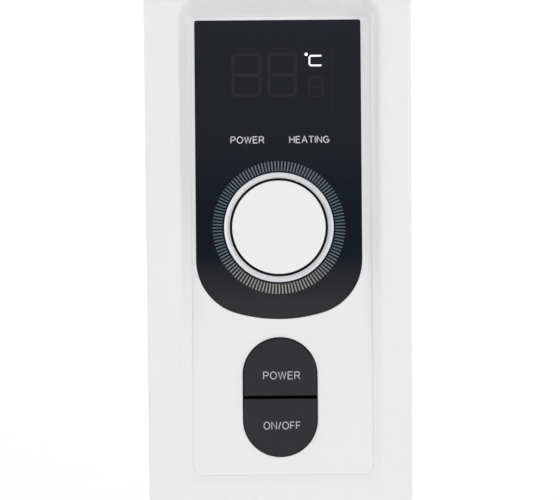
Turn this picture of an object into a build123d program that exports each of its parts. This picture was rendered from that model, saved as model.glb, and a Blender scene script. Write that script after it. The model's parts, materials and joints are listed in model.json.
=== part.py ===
from build123d import *
import math
import os

os.makedirs("parts", exist_ok=True)

# Oil filled radiator heater on castors, with a tall control panel on its front.
# Millimetres. The front faces -Y, +Z is up, and the origin is on the floor under the middle.

# ---------------------------------------------------------------- driving dimensions
body_length = 374.0
panel_lean = 2.5
lean_sin = math.sin(math.radians(panel_lean))
lean_cos = math.cos(math.radians(panel_lean))
knob_depth = 6.5
knob_cap_radius = 23.0
knob_cap_height = 10.6
knob_cap_edge = 0.6
knob_projection = (
    (knob_cap_radius - knob_cap_edge) * lean_sin
    + (knob_cap_height - knob_cap_edge) * lean_cos
    + knob_cap_edge
    - knob_depth
)
overall_length = body_length + knob_projection
front_y = knob_projection - overall_length / 2

casing_width = 132.0
casing_bottom = 88.0
casing_top = 632.0
casing_corner = 14.0
casing_wall = 2.5
front_round, rear_round = 2.5, 4.0
cover_depth = 58.0
housing_depth = 42.0
seam_y = front_y + cover_depth
back_y = seam_y + housing_depth
inner_back_y = back_y - casing_wall
casing_height = casing_top - casing_bottom
casing_mid = (casing_top + casing_bottom) / 2

running_gap = 0.05          # radial gap of a shaft in its bore
moving_gap = 0.3            # gap between pieces that move past each other

# control panel: a plane that leans back, with its origin at the knob's centre
knob_z = 488.0
panel = Plane(
    origin=(0, front_y + knob_depth, knob_z),
    x_dir=(1, 0, 0),
    z_dir=(0, -lean_cos, lean_sin),
)
panel_axis = Axis(panel.origin, panel.z_dir)
knob_section = Plane(origin=panel.origin, x_dir=(1, 0, 0), z_dir=-panel.y_dir)

# pocket in the front cover: left, right, top and bottom of its mouth and of its floor
mouth_left, mouth_right, mouth_top, mouth_bottom = -49.4, 50.6, 114.5, -126.4
floor_left, floor_right, floor_top, floor_bottom = -43.7, 46.5, 105.6, -123.8
mouth_top_radius, mouth_bottom_radius = 13.0, 6.5
floor_top_radius, floor_bottom_radius = 1.2, 5.0
mouth_round = 4.0
funnel_wall = 2.2
insert_gap = 0.05
plate_edge = 0.15
seam_edge = 0.4

plate_block = 4.0
plate_flange = 2.0
plate_back = plate_block + plate_flange
flange_half_width = 60.5
flange_top, flange_bottom = 111.0, -129.0
panel_screw_x = 57.0
panel_screw_v = (96.0, -8.0, -119.0)
panel_screw_radius, panel_screw_head = 1.45, 2.9
panel_screw_bite = 6.0
boss_radius = 3.5
boss_root = 1.2
boss_floor = 0.6

window_half_width = 41.5
window_top = 103.7
window_bottom = -45.75
window_corner_radius = 27.7
window_bottom_radius = 76.6
window_top_radius = 1.2
window_thickness = 1.6
window_gap = 0.1
window_bush_hole = 7.5

display_v = 76.0
display_width, display_height = 60.0, 30.0
display_front = -1.9
lamp_x = 15.5
lamp_v = 43.7
lamp_radius = 1.5

knob_radius = 27.05
knob_bottom = 0.6
knob_rim_height = 9.0
knob_groove_radius = 24.35
knob_floor_bottom, knob_floor_top = 2.0, 3.6
knob_hub_radius = 6.0
shaft_radius = 3.0
shaft_top = 8.4
shaft_bottom = -9.0

board_front = -12.0
board_thickness = 1.6
board_half_width = 46.0
board_top, board_bottom = 104.0, -123.0
board_screw_x = 42.5
board_screw_v = (98.0, -38.0, -118.0)
board_screw_radius, board_screw_head, board_screw_hole = 1.2, 2.4, 1.5
standoff_radius = 3.0
encoder_size = 12.0
encoder_top = -6.2
bush_radius = 4.4
bush_top = 0.0
bush_hole = 4.6
nut_flats = 11.0
nut_height = 1.7

key_mid = -84.8
key_width = 36.65
key_height = 59.2
key_gap = 1.1
key_clearance = 0.45
key_proud = 0.9
key_edge = 0.8
key_lip = 1.2
key_lip_thickness = 1.0
plunger_radius = 1.7
switch_size = 6.0
switch_top = -8.5
key_centres = {1: key_mid + key_height / 4, -1: key_mid - key_height / 4}

# oil filled fins, one behind another, with a header boss near each end
fin_count = 7
fin_pitch = 38.0
fin_width = 148.0
fin_bottom, fin_top = 75.0, 620.0
fin_corner = 34.0
fin_sheet = 1.2
fin_flange_depth = 15.0
fin_flange_wall = 1.0
header_inset = 56.0
lower_header_z = fin_bottom + header_inset
upper_header_z = fin_top - header_inset
header_radius = 23.0
header_bore = 21.0
header_end_wall = 3.0
channel_spacing = 40.0
channel_width = 26.0
channel_rise = 7.0
header_field_width = 118.0
header_field_height = 52.0
channel_blend = 8.0
channel_edge = 3.0
oil_inset, oil_skin = 1.6, 1.2

plate_sheet = 1.5
steel_plate_width, steel_plate_height = 96.0, 520.0
header_front_y = back_y + plate_sheet
header_rear_y = header_front_y + fin_count * fin_pitch

# electric element in the lower header
element_thread_radius = 19.8
element_thread_hole = 19.9
element_tube_radius = 4.0
element_tube_x = 9.0
element_length = 6.2 * fin_pitch
element_flange_length = 8.0
element_pin_radius = 2.0
element_pin_length = 9.0
gasket_thickness = 1.5
gasket_radius = 24.0

# power board in the lower half of the casing
power_board_width, power_board_height = 100.0, 124.0
power_board_z = 262.0
power_board_gap = 12.0
power_board_back_y = inner_back_y - power_board_gap
power_board_front_y = power_board_back_y - board_thickness
power_screw_x, power_screw_z = 44.0, 56.0
relay_width, relay_height = 19.0, 15.5
transformer_x, transformer_z = 22.0, power_board_z + 26.0
bobbin_depth = 6.0

# feet and castors
foot_half_length = 128.0
foot_width = 46.0
foot_height = 16.0
foot_wall = 2.5
foot_drop = 5.0
foot_flat_x, foot_end_x = 62.0, 82.0
castor_x = 108.0
wheel_radius = 19.0
wheel_trail = 14.0
wheel_inner_x, wheel_outer_x = 3.1, 16.0
axle_radius = 3.0
hood_radius = 22.2
hood_inner_radius = 20.0
hood_half_width = 17.0
web_half_width = 2.5
stem_radius = 5.0
stem_top = 66.0
collar_radius = 9.0
socket_bottom = 50.0
socket_radius = 9.0
ubolt_radius = 3.0
ubolt_clearance = 0.4
ubolt_reach = header_radius + ubolt_clearance + ubolt_radius
ubolt_end_z = 54.0
foot_ys = {"front": header_front_y + fin_pitch, "rear": header_front_y + (fin_count - 1) * fin_pitch}

# carrying handle on top of the casing
handle_y = back_y - housing_depth / 2
handle_half_width = 52.0
handle_height = 42.0
handle_depth = 26.0
handle_leg = 15.0
handle_bar = 15.0
handle_screw_x = 44.0


def upright(y):
    """Plane that faces the front of the heater at depth y, with X and Z as its own x and y."""
    return Plane(origin=(0, y, 0), x_dir=(1, 0, 0), z_dir=(0, -1, 0))


def panel_rectangle(left, right, top, bottom, top_radius, bottom_radius, grow=0.0, base=(0.0, 0.0)):
    """Upright rectangle with one radius for its upper corners and one for its lower corners."""
    with BuildSketch(Plane.XY) as outline:
        with Locations(((left + right) / 2 + base[0], (top + bottom) / 2 + base[1])):
            Rectangle(right - left + 2 * grow, top - bottom + 2 * grow)
        fillet(outline.vertices().group_by(Axis.Y)[-1], top_radius + grow)
        fillet(outline.vertices().group_by(Axis.Y)[0], bottom_radius + grow)
    return outline.sketch


def mouth_outline(grow=0.0):
    return panel_rectangle(
        mouth_left, mouth_right, mouth_top, mouth_bottom,
        mouth_top_radius, mouth_bottom_radius, grow, (0.0, knob_z),
    )


def floor_outline(grow=0.0):
    return panel_rectangle(
        floor_left, floor_right, floor_top, floor_bottom, floor_top_radius, floor_bottom_radius, grow
    )


def window_outline(grow=0.0):
    """Display window: square top, and a broad round bottom made of three tangent arcs."""
    half = window_half_width + grow
    corner = window_corner_radius + grow
    broad = window_bottom_radius + grow
    top = window_top + grow
    broad_y = window_bottom + window_bottom_radius
    corner_x = half - corner
    corner_y = broad_y - math.sqrt((broad - corner) ** 2 - corner_x ** 2)
    meet_x = corner_x * broad / (broad - corner)
    meet_y = broad_y - (broad_y - corner_y) * broad / (broad - corner)
    bottom_y = window_bottom - grow
    with BuildSketch(Plane.XY) as outline:
        with BuildLine():
            Polyline((-half, corner_y), (-half, top), (half, top), (half, corner_y))
            RadiusArc((half, corner_y), (meet_x, meet_y), corner)
            ThreePointArc((meet_x, meet_y), (0, bottom_y), (-meet_x, meet_y))
            RadiusArc((-meet_x, meet_y), (-half, corner_y), corner)
        make_face()
        fillet(outline.vertices().group_by(Axis.Y)[-1], window_top_radius)
    return outline.sketch


def panel_screw_length(v):
    """How far a plate screw goes into its boss, which is short where the pocket is shallow."""
    boss_length = knob_depth + plate_block + v * lean_sin - boss_root
    return min(panel_screw_bite, boss_length - 2 * boss_floor)


def key_outline(side, grow=0.0):
    """One half of a stadium: side is 1 for the upper key and -1 for the lower one."""
    with BuildSketch(Plane.XY) as outline:
        with Locations((0, key_mid)):
            SlotOverall(key_height + 2 * grow, key_width + 2 * grow, rotation=90)
        with Locations((0, key_mid + side * (key_gap / 2 + key_height))):
            Rectangle(3 * key_width, 2 * key_height, mode=Mode.INTERSECT)
    return outline.sketch


# ---------------------------------------------------------------- front cover
with BuildPart() as pocket_space:
    with BuildSketch(upright(front_y)):
        add(mouth_outline())
    with BuildSketch(panel):
        add(floor_outline())
    loft(ruled=True)
    with BuildSketch(upright(front_y)):
        add(mouth_outline())
    extrude(amount=5)
    with BuildSketch(panel):
        add(floor_outline())
    extrude(amount=-2 * plate_back)

with BuildPart() as pocket_walls:
    with BuildSketch(upright(front_y)):
        add(mouth_outline(funnel_wall))
    with BuildSketch(panel):
        add(floor_outline(funnel_wall))
    loft(ruled=True)
    with BuildSketch(panel):
        add(floor_outline(funnel_wall))
    extrude(amount=-plate_block)

with BuildPart() as cover_hollow:
    with BuildSketch(upright(front_y + casing_wall)):
        with Locations((0, casing_mid)):
            RectangleRounded(
                casing_width - 2 * casing_wall, casing_height - 2 * casing_wall, casing_corner - casing_wall
            )
    extrude(amount=-cover_depth)
    add(pocket_walls.part, mode=Mode.SUBTRACT)
    for v in panel_screw_v:
        boss_length = knob_depth + plate_block + v * lean_sin - boss_root
        with BuildSketch(panel.offset(-plate_block)):
            with Locations((-panel_screw_x, v), (panel_screw_x, v)):
                Circle(boss_radius)
        extrude(amount=boss_length, mode=Mode.SUBTRACT)

casing_screw_x = 59.5
casing_screw_z = (106.0, 360.0, 614.0)
casing_boss_radius = 5.0
casing_screw_radius = 2.0
casing_boss_reach = 12.0
screw_spots = [(x, z) for x in (-casing_screw_x, casing_screw_x) for z in casing_screw_z]

with BuildPart() as front_cover:
    with BuildSketch(upright(front_y)):
        with Locations((0, casing_mid)):
            RectangleRounded(casing_width, casing_height, casing_corner)
    extrude(amount=-cover_depth)
    fillet(front_cover.faces().sort_by(Axis.Y)[0].outer_wire().edges(), front_round)
    chamfer(front_cover.faces().sort_by(Axis.Y)[-1].outer_wire().edges(), seam_edge)
    add(cover_hollow.part, mode=Mode.SUBTRACT)
    add(pocket_space.part, mode=Mode.SUBTRACT)
    fillet(front_cover.faces().sort_by(Axis.Y)[0].inner_wires()[0].edges(), mouth_round)
    for v in panel_screw_v:
        with BuildSketch(panel.offset(-plate_block)):
            with Locations((-panel_screw_x, v), (panel_screw_x, v)):
                Circle(panel_screw_radius + running_gap)
        extrude(amount=panel_screw_length(v) + boss_floor, mode=Mode.SUBTRACT)
    with BuildSketch(upright(seam_y)):
        with Locations(*screw_spots):
            Circle(casing_boss_radius)
        with Locations((0, casing_mid)):
            RectangleRounded(
                casing_width - casing_wall, casing_height - casing_wall, casing_corner - casing_wall / 2,
                mode=Mode.INTERSECT,
            )
    extrude(amount=casing_boss_reach + 4)
    with BuildSketch(upright(seam_y)):
        with Locations(*screw_spots):
            Circle(casing_screw_radius + running_gap)
    extrude(amount=casing_boss_reach + 1, mode=Mode.SUBTRACT)
front_cover.part.label = "front_cover"
export_step(front_cover.part, "parts/front_cover.step")

# ---------------------------------------------------------------- control plate and window
with BuildPart() as control_plate:
    with BuildSketch(panel):
        add(floor_outline(-insert_gap))
    extrude(amount=-plate_block)
    fillet(control_plate.faces().sort_by(panel_axis)[-1].edges(), plate_edge)
    with BuildSketch(panel.offset(-plate_block)):
        add(panel_rectangle(-flange_half_width, flange_half_width, flange_top, flange_bottom, 6, 6))
    extrude(amount=-plate_flange)
    with BuildSketch(panel):
        add(window_outline(window_gap))
    extrude(amount=-window_thickness, mode=Mode.SUBTRACT)
    with BuildSketch(panel):
        Circle(bush_hole)
        with Locations((0, display_v)):
            Rectangle(display_width + 0.6, display_height + 0.6)
        with Locations((-lamp_x, lamp_v), (lamp_x, lamp_v)):
            Circle(lamp_radius + 0.3)
        with Locations((0, key_mid)):
            SlotOverall(key_height + 2 * key_clearance, key_width + 2 * key_clearance, rotation=90)
        for v in panel_screw_v:
            with Locations((-panel_screw_x, v), (panel_screw_x, v)):
                Circle(panel_screw_radius + running_gap)
    extrude(amount=-plate_back, mode=Mode.SUBTRACT)
    with BuildSketch(panel.offset(-plate_back)):
        for v in board_screw_v:
            with Locations((-board_screw_x, v), (board_screw_x, v)):
                Circle(standoff_radius)
    extrude(amount=board_front + plate_back)
    with BuildSketch(panel.offset(board_front)):
        for v in board_screw_v:
            with Locations((-board_screw_x, v), (board_screw_x, v)):
                Circle(board_screw_radius + running_gap)
    extrude(amount=6, mode=Mode.SUBTRACT)
control_plate.part.label = "control_plate"
export_step(control_plate.part, "parts/control_plate.step")

with BuildPart() as display_window:
    with BuildSketch(panel):
        add(window_outline())
        Circle(window_bush_hole, mode=Mode.SUBTRACT)
    extrude(amount=-window_thickness)
display_window.part.label = "display_window"
export_step(display_window.part, "parts/display_window.step")

with BuildPart() as panel_screws:
    with BuildSketch(panel.offset(-plate_back)):
        for v in panel_screw_v:
            with Locations((-panel_screw_x, v), (panel_screw_x, v)):
                Circle(panel_screw_head)
    extrude(amount=-2)
    for v in panel_screw_v:
        with BuildSketch(panel.offset(-plate_back)):
            with Locations((-panel_screw_x, v), (panel_screw_x, v)):
                Circle(panel_screw_radius)
        extrude(amount=plate_flange + panel_screw_length(v))
panel_screws.part.label = "panel_screws"
export_step(panel_screws.part, "parts/panel_screws.step")

# ---------------------------------------------------------------- knob and encoder
with BuildPart() as knob_ring:
    with BuildSketch(knob_section):
        with BuildLine():
            Polyline(
                (knob_radius, knob_bottom),
                (knob_radius, knob_rim_height - 0.5),
                (knob_radius - 0.5, knob_rim_height),
                (knob_groove_radius, knob_rim_height - 1.5),
                (knob_groove_radius, knob_floor_top),
                (knob_hub_radius, knob_floor_top),
                (knob_hub_radius, shaft_top),
                (shaft_radius + running_gap, shaft_top),
                (shaft_radius + running_gap, knob_floor_bottom),
                (knob_radius - 2, knob_floor_bottom),
                (knob_radius - 2, knob_bottom),
                close=True,
            )
        make_face()
    revolve(axis=panel_axis)
knob_ring.part.label = "knob_ring"
export_step(knob_ring.part, "parts/knob_ring.step")

with BuildPart() as knob_cap:
    with BuildSketch(knob_section):
        with BuildLine():
            Polyline(
                (0, knob_cap_height),
                (knob_cap_radius, knob_cap_height),
                (knob_cap_radius, knob_floor_top),
                (knob_cap_radius - 2, knob_floor_top),
                (knob_cap_radius - 2, knob_cap_height - 2),
                (0, knob_cap_height - 2),
                close=True,
            )
        make_face()
    revolve(axis=panel_axis)
    fillet(knob_cap.faces().sort_by(panel_axis)[-1].edges(), knob_cap_edge)
knob_cap.part.label = "knob_cap"
export_step(knob_cap.part, "parts/knob_cap.step")

with BuildPart() as encoder_shaft:
    with BuildSketch(panel.offset(shaft_top)):
        Circle(shaft_radius)
    extrude(amount=shaft_bottom - shaft_top)
    chamfer(encoder_shaft.faces().sort_by(panel_axis)[-1].edges(), 0.4)
encoder_shaft.part.label = "encoder_shaft"
export_step(encoder_shaft.part, "parts/encoder_shaft.step")

with BuildPart() as encoder_body:
    with BuildSketch(panel.offset(board_front)):
        Rectangle(encoder_size, encoder_size)
    extrude(amount=encoder_top - board_front)
    with BuildSketch(panel.offset(encoder_top)):
        Circle(bush_radius)
    extrude(amount=bush_top - encoder_top)
    with BuildSketch(panel.offset(bush_top)):
        Circle(shaft_radius + running_gap)
    extrude(amount=shaft_bottom - moving_gap, mode=Mode.SUBTRACT)
encoder_body.part.label = "encoder_body"
export_step(encoder_body.part, "parts/encoder_body.step")

with BuildPart() as encoder_nut:
    with BuildSketch(panel.offset(-window_thickness)):
        RegularPolygon(nut_flats / 2, 6, major_radius=False)
        Circle(bush_radius + running_gap, mode=Mode.SUBTRACT)
    extrude(amount=nut_height)
encoder_nut.part.label = "encoder_nut"
export_step(encoder_nut.part, "parts/encoder_nut.step")

# ---------------------------------------------------------------- keys and switches
plunger_sink = 2.2
plunger_well = 2.9
for side, name in ((1, "power"), (-1, "on_off")):
    key_bottom = -(plate_back + moving_gap)
    with BuildPart() as button:
        with BuildSketch(panel.offset(key_proud)):
            add(key_outline(side))
        extrude(amount=key_bottom - key_proud)
        fillet(button.faces().sort_by(panel_axis)[-1].edges(), key_edge)
        with BuildSketch(panel.offset(key_bottom)):
            add(key_outline(side, key_lip))
        extrude(amount=-key_lip_thickness)
    button.part.label = f"button_{name}"
    export_step(button.part, f"parts/button_{name}.step")

    with BuildPart() as tact_plunger:
        with BuildSketch(panel.offset(key_bottom - key_lip_thickness)):
            with Locations((0, key_centres[side])):
                Circle(plunger_radius)
        extrude(amount=-(plunger_sink + moving_gap))
    tact_plunger.part.label = f"tact_plunger_{name}"
    export_step(tact_plunger.part, f"parts/tact_plunger_{name}.step")

with BuildPart() as tact_switches:
    with BuildSketch(panel.offset(board_front)):
        with Locations(*[(0, v) for v in key_centres.values()]):
            Rectangle(switch_size, switch_size)
    extrude(amount=switch_top - board_front)
    with BuildSketch(panel.offset(switch_top)):
        with Locations(*[(0, v) for v in key_centres.values()]):
            Circle(plunger_radius + running_gap)
    extrude(amount=-plunger_well, mode=Mode.SUBTRACT)
tact_switches.part.label = "tact_switches"
export_step(tact_switches.part, "parts/tact_switches.step")

# ---------------------------------------------------------------- control board
with BuildPart() as control_pcb:
    with BuildSketch(panel.offset(board_front)):
        add(panel_rectangle(-board_half_width, board_half_width, board_top, board_bottom, 2, 2))
        for v in board_screw_v:
            with Locations((-board_screw_x, v), (board_screw_x, v)):
                Circle(board_screw_hole, mode=Mode.SUBTRACT)
    extrude(amount=-board_thickness)
control_pcb.part.label = "control_pcb"
export_step(control_pcb.part, "parts/control_pcb.step")

with BuildPart() as led_display:
    with BuildSketch(panel.offset(board_front)):
        with Locations((0, display_v)):
            Rectangle(display_width, display_height)
    extrude(amount=display_front - board_front)
led_display.part.label = "led_display"
export_step(led_display.part, "parts/led_display.step")

with BuildPart() as indicator_leds:
    with BuildSketch(panel.offset(board_front)):
        with Locations((-lamp_x, lamp_v), (lamp_x, lamp_v)):
            Circle(lamp_radius)
    extrude(amount=display_front - board_front)
indicator_leds.part.label = "indicator_leds"
export_step(indicator_leds.part, "parts/indicator_leds.step")

# ---------------------------------------------------------------- rear housing and steel plate
element_hole = 26.5
cutout_x, cutout_z = 34.0, 178.0
cutout_radius, cutout_depth = 8.0, 9.0
steel_screw_radius, steel_screw_head = 1.9, 3.6
plate_screw_spots = [(x, z) for x in (-40.0, 40.0) for z in (118.0, 540.0)]
vent_pitch, vent_height, vent_length = 8.0, 3.6, 24.0
lower_vent_z, upper_vent_z, lower_vents, upper_vents = 128.0, 512.0, 10, 8
vent_zs = [lower_vent_z + vent_pitch * i for i in range(lower_vents)]
vent_zs += [upper_vent_z + vent_pitch * i for i in range(upper_vents)]
gland_x = 40.0
gland_y = back_y - 20.0
gland_hole, gland_bore, gland_collar, gland_lip = 7.0, 3.6, 10.0, 8.6
gland_head, gland_length = 3.0, 15.0
gland_edge, gland_lip_depth = 1.2, 4.0
stand_off_radius, stand_off_hole = 4.0, 8.0
counterbore_radius, counterbore_floor = 4.0, 8.0
casing_screw_head, casing_screw_head_height = 3.8, 2.6
steel_screw_head_height, steel_screw_bite, handle_screw_bite = 2.4, 8.0, 14.0
cutout_gap = 0.5
steel_plate_corner = 10.0
power_spots = [
    (x, power_board_z + z) for x in (-power_screw_x, power_screw_x) for z in (-power_screw_z, power_screw_z)
]

with BuildPart() as rear_housing:
    with BuildSketch(upright(seam_y)):
        with Locations((0, casing_mid)):
            RectangleRounded(casing_width, casing_height, casing_corner)
    extrude(amount=-housing_depth)
    fillet(rear_housing.faces().sort_by(Axis.Y)[-1].outer_wire().edges(), rear_round)
    chamfer(rear_housing.faces().sort_by(Axis.Y)[0].outer_wire().edges(), seam_edge)
    with BuildSketch(upright(seam_y)):
        with Locations((0, casing_mid)):
            RectangleRounded(
                casing_width - 2 * casing_wall, casing_height - 2 * casing_wall, casing_corner - casing_wall
            )
    extrude(amount=-(housing_depth - casing_wall), mode=Mode.SUBTRACT)
    for z in vent_zs:
        with BuildSketch(Plane.YZ.offset(-casing_width)):
            with Locations((handle_y, z)):
                SlotOverall(vent_length, vent_height)
        extrude(amount=2 * casing_width, mode=Mode.SUBTRACT)
    with BuildSketch(upright(inner_back_y)):
        with Locations(*power_spots):
            Circle(stand_off_radius)
    extrude(amount=power_board_gap)
    with BuildSketch(upright(power_board_back_y)):
        with Locations(*power_spots):
            Circle(board_screw_radius + running_gap)
    extrude(amount=-stand_off_hole, mode=Mode.SUBTRACT)
    with BuildSketch(upright(seam_y)):
        with Locations(*screw_spots):
            Circle(casing_boss_radius)
        with Locations((0, casing_mid)):
            RectangleRounded(
                casing_width - casing_wall, casing_height - casing_wall, casing_corner - casing_wall / 2,
                mode=Mode.INTERSECT,
            )
    extrude(amount=-(housing_depth - casing_wall / 2))
    with BuildSketch(upright(back_y)):
        with Locations(*screw_spots):
            Circle(counterbore_radius)
    extrude(amount=housing_depth - counterbore_floor, mode=Mode.SUBTRACT)
    with BuildSketch(upright(back_y)):
        with Locations(*screw_spots):
            Circle(casing_screw_radius + running_gap)
    extrude(amount=housing_depth, mode=Mode.SUBTRACT)
    with BuildSketch(upright(back_y)):
        with Locations((0, lower_header_z)):
            Circle(element_hole)
        with Locations((cutout_x, cutout_z)):
            Circle(cutout_radius + cutout_gap)
        with Locations(*plate_screw_spots):
            Circle(steel_screw_radius + running_gap)
    extrude(amount=2 * casing_wall, mode=Mode.SUBTRACT)
    with BuildSketch(Plane.XY.offset(casing_bottom)):
        with Locations((gland_x, gland_y)):
            Circle(gland_hole)
    extrude(amount=2 * casing_wall, mode=Mode.SUBTRACT)
    with BuildSketch(Plane.XY.offset(casing_top)):
        with Locations((-handle_screw_x, handle_y), (handle_screw_x, handle_y)):
            Circle(steel_screw_radius + running_gap)
    extrude(amount=-2 * casing_wall, mode=Mode.SUBTRACT)
rear_housing.part.label = "rear_housing"
export_step(rear_housing.part, "parts/rear_housing.step")

with BuildPart() as mounting_plate:
    with BuildSketch(upright(back_y)):
        with Locations((0, casing_mid)):
            RectangleRounded(steel_plate_width, steel_plate_height, steel_plate_corner)
        with Locations((0, lower_header_z)):
            Circle(element_thread_hole, mode=Mode.SUBTRACT)
        with Locations(*plate_screw_spots):
            Circle(steel_screw_radius + running_gap, mode=Mode.SUBTRACT)
    extrude(amount=-plate_sheet)
mounting_plate.part.label = "mounting_plate"
export_step(mounting_plate.part, "parts/mounting_plate.step")

with BuildPart() as casing_screws:
    with BuildSketch(upright(seam_y + counterbore_floor)):
        with Locations(*screw_spots):
            Circle(casing_screw_head)
    extrude(amount=-casing_screw_head_height)
    with BuildSketch(upright(seam_y + counterbore_floor)):
        with Locations(*screw_spots):
            Circle(casing_screw_radius)
    extrude(amount=counterbore_floor + casing_boss_reach)
    with BuildSketch(upright(inner_back_y)):
        with Locations(*plate_screw_spots):
            Circle(steel_screw_head)
    extrude(amount=steel_screw_head_height)
    with BuildSketch(upright(inner_back_y)):
        with Locations(*plate_screw_spots):
            Circle(steel_screw_radius)
    extrude(amount=-steel_screw_bite)
casing_screws.part.label = "casing_screws"
export_step(casing_screws.part, "parts/casing_screws.step")

with BuildPart() as cord_gland:
    with BuildSketch(Plane.XY.offset(casing_bottom)):
        with Locations((gland_x, gland_y)):
            Circle(gland_collar)
    extrude(amount=-gland_head)
    fillet(cord_gland.faces().sort_by(Axis.Z)[0].edges(), gland_edge)
    with BuildSketch(Plane.XY.offset(casing_bottom)):
        with Locations((gland_x, gland_y)):
            Circle(gland_hole - running_gap)
    extrude(amount=gland_length - gland_head)
    with BuildSketch(Plane.XY.offset(casing_bottom + casing_wall)):
        with Locations((gland_x, gland_y)):
            Circle(gland_lip)
    extrude(amount=gland_lip_depth)
    with BuildSketch(Plane.XY.offset(casing_bottom - gland_head)):
        with Locations((gland_x, gland_y)):
            Circle(gland_bore)
    extrude(amount=gland_length, mode=Mode.SUBTRACT)
cord_gland.part.label = "cord_gland"
export_step(cord_gland.part, "parts/cord_gland.step")

# ---------------------------------------------------------------- oil filled fins
with BuildPart() as fin_shape:
    with BuildSketch(upright(fin_sheet / 2)):
        with Locations((0, (fin_top + fin_bottom) / 2)):
            RectangleRounded(fin_width, fin_top - fin_bottom, fin_corner)
    extrude(amount=fin_sheet)
    with BuildSketch(upright(channel_rise)) as channels:
        for x in (-channel_spacing, 0, channel_spacing):
            with Locations((x, (lower_header_z + upper_header_z) / 2)):
                SlotOverall(upper_header_z - lower_header_z + channel_width, channel_width, rotation=90)
        with Locations((0, lower_header_z), (0, upper_header_z)):
            SlotOverall(header_field_width, header_field_height)
        offset(amount=channel_blend)
        offset(amount=-channel_blend)
    extrude(amount=2 * channel_rise)
    fillet(fin_shape.faces().sort_by(Axis.Y)[-1].edges(), channel_edge)
    fillet(fin_shape.faces().sort_by(Axis.Y)[0].edges(), channel_edge)
    with BuildSketch(upright(0)):
        with Locations((0, (fin_top + fin_bottom) / 2)):
            RectangleRounded(fin_width, fin_top - fin_bottom, fin_corner)
            RectangleRounded(
                fin_width - 2 * fin_flange_wall,
                fin_top - fin_bottom - 2 * fin_flange_wall,
                fin_corner - fin_flange_wall,
                mode=Mode.SUBTRACT,
            )
    extrude(amount=-fin_flange_depth)
    with BuildSketch(upright(fin_pitch / 2)):
        with Locations((0, lower_header_z), (0, upper_header_z)):
            Circle(header_radius)
    extrude(amount=fin_pitch)
    with BuildSketch(upright(channel_rise - oil_skin)):
        add(channels.sketch_local)
        offset(amount=-oil_inset, mode=Mode.REPLACE)
    extrude(amount=2 * (channel_rise - oil_skin), mode=Mode.SUBTRACT)
    with BuildSketch(upright(fin_pitch / 2)):
        with Locations((0, lower_header_z), (0, upper_header_z)):
            Circle(header_bore)
    extrude(amount=fin_pitch, mode=Mode.SUBTRACT)

plug_radius, plug_flats, plug_thread, plug_edge = 5.0, 16.0, 9.0, 0.8
for number in range(1, fin_count + 1):
    with BuildPart() as fin:
        add(fin_shape.part)
        if number == 1:
            with BuildSketch(upright(-fin_pitch / 2)):
                with Locations((0, lower_header_z), (0, upper_header_z)):
                    Circle(header_bore)
                with Locations((0, lower_header_z)):
                    Circle(element_thread_hole, mode=Mode.SUBTRACT)
            extrude(amount=-header_end_wall)
        if number == fin_count:
            with BuildSketch(upright(fin_pitch / 2)):
                with Locations((0, lower_header_z), (0, upper_header_z)):
                    Circle(header_bore)
                with Locations((0, lower_header_z)):
                    Circle(plug_radius + running_gap, mode=Mode.SUBTRACT)
            extrude(amount=header_end_wall)
    fin.part = fin.part.moved(Location((0, header_front_y + (number - 0.5) * fin_pitch, 0)))
    fin.part.label = f"fin_{number}"
    export_step(fin.part, f"parts/fin_{number}.step")

with BuildPart() as filler_plug:
    with BuildSketch(upright(overall_length / 2)):
        with Locations((0, lower_header_z)):
            RegularPolygon(plug_flats / 2, 6, major_radius=False)
    extrude(amount=overall_length / 2 - header_rear_y)
    chamfer(filler_plug.faces().sort_by(Axis.Y)[-1].edges(), plug_edge)
    with BuildSketch(upright(header_rear_y)):
        with Locations((0, lower_header_z)):
            Circle(plug_radius)
    extrude(amount=plug_thread)
filler_plug.part.label = "filler_plug"
export_step(filler_plug.part, "parts/filler_plug.step")

# ---------------------------------------------------------------- heating element
element_flange_y = back_y - gasket_thickness
element_flats, element_thread_length, element_tube_seat = 44.0, 14.0, 10.0
with BuildPart() as heating_element:
    with BuildSketch(upright(element_flange_y)):
        with Locations((0, lower_header_z)):
            RegularPolygon(element_flats / 2, 6, major_radius=False)
    extrude(amount=element_flange_length)
    with BuildSketch(upright(element_flange_y)):
        with Locations((0, lower_header_z)):
            Circle(element_thread_radius)
    extrude(amount=-element_thread_length)
    with BuildSketch(upright(element_flange_y - element_flange_length)):
        with Locations((-element_tube_x, lower_header_z), (element_tube_x, lower_header_z)):
            Circle(element_pin_radius)
    extrude(amount=element_pin_length)
    with BuildLine() as tube_path:
        tube_start = element_flange_y + element_tube_seat
        tube_end = element_flange_y + element_length
        Line((-element_tube_x, tube_start, lower_header_z), (-element_tube_x, tube_end, lower_header_z))
        ThreePointArc(
            (-element_tube_x, tube_end, lower_header_z),
            (0, tube_end + element_tube_x, lower_header_z),
            (element_tube_x, tube_end, lower_header_z),
        )
        Line((element_tube_x, tube_end, lower_header_z), (element_tube_x, tube_start, lower_header_z))
    with BuildSketch(Plane(origin=(-element_tube_x, tube_start, lower_header_z), z_dir=(0, 1, 0))):
        Circle(element_tube_radius)
    sweep(path=tube_path.line)
heating_element.part.label = "heating_element"
export_step(heating_element.part, "parts/heating_element.step")

with BuildPart() as element_gasket:
    with BuildSketch(upright(back_y)):
        with Locations((0, lower_header_z)):
            Circle(gasket_radius)
            Circle(element_thread_radius + running_gap, mode=Mode.SUBTRACT)
    extrude(amount=gasket_thickness)
element_gasket.part.label = "element_gasket"
export_step(element_gasket.part, "parts/element_gasket.step")

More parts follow.
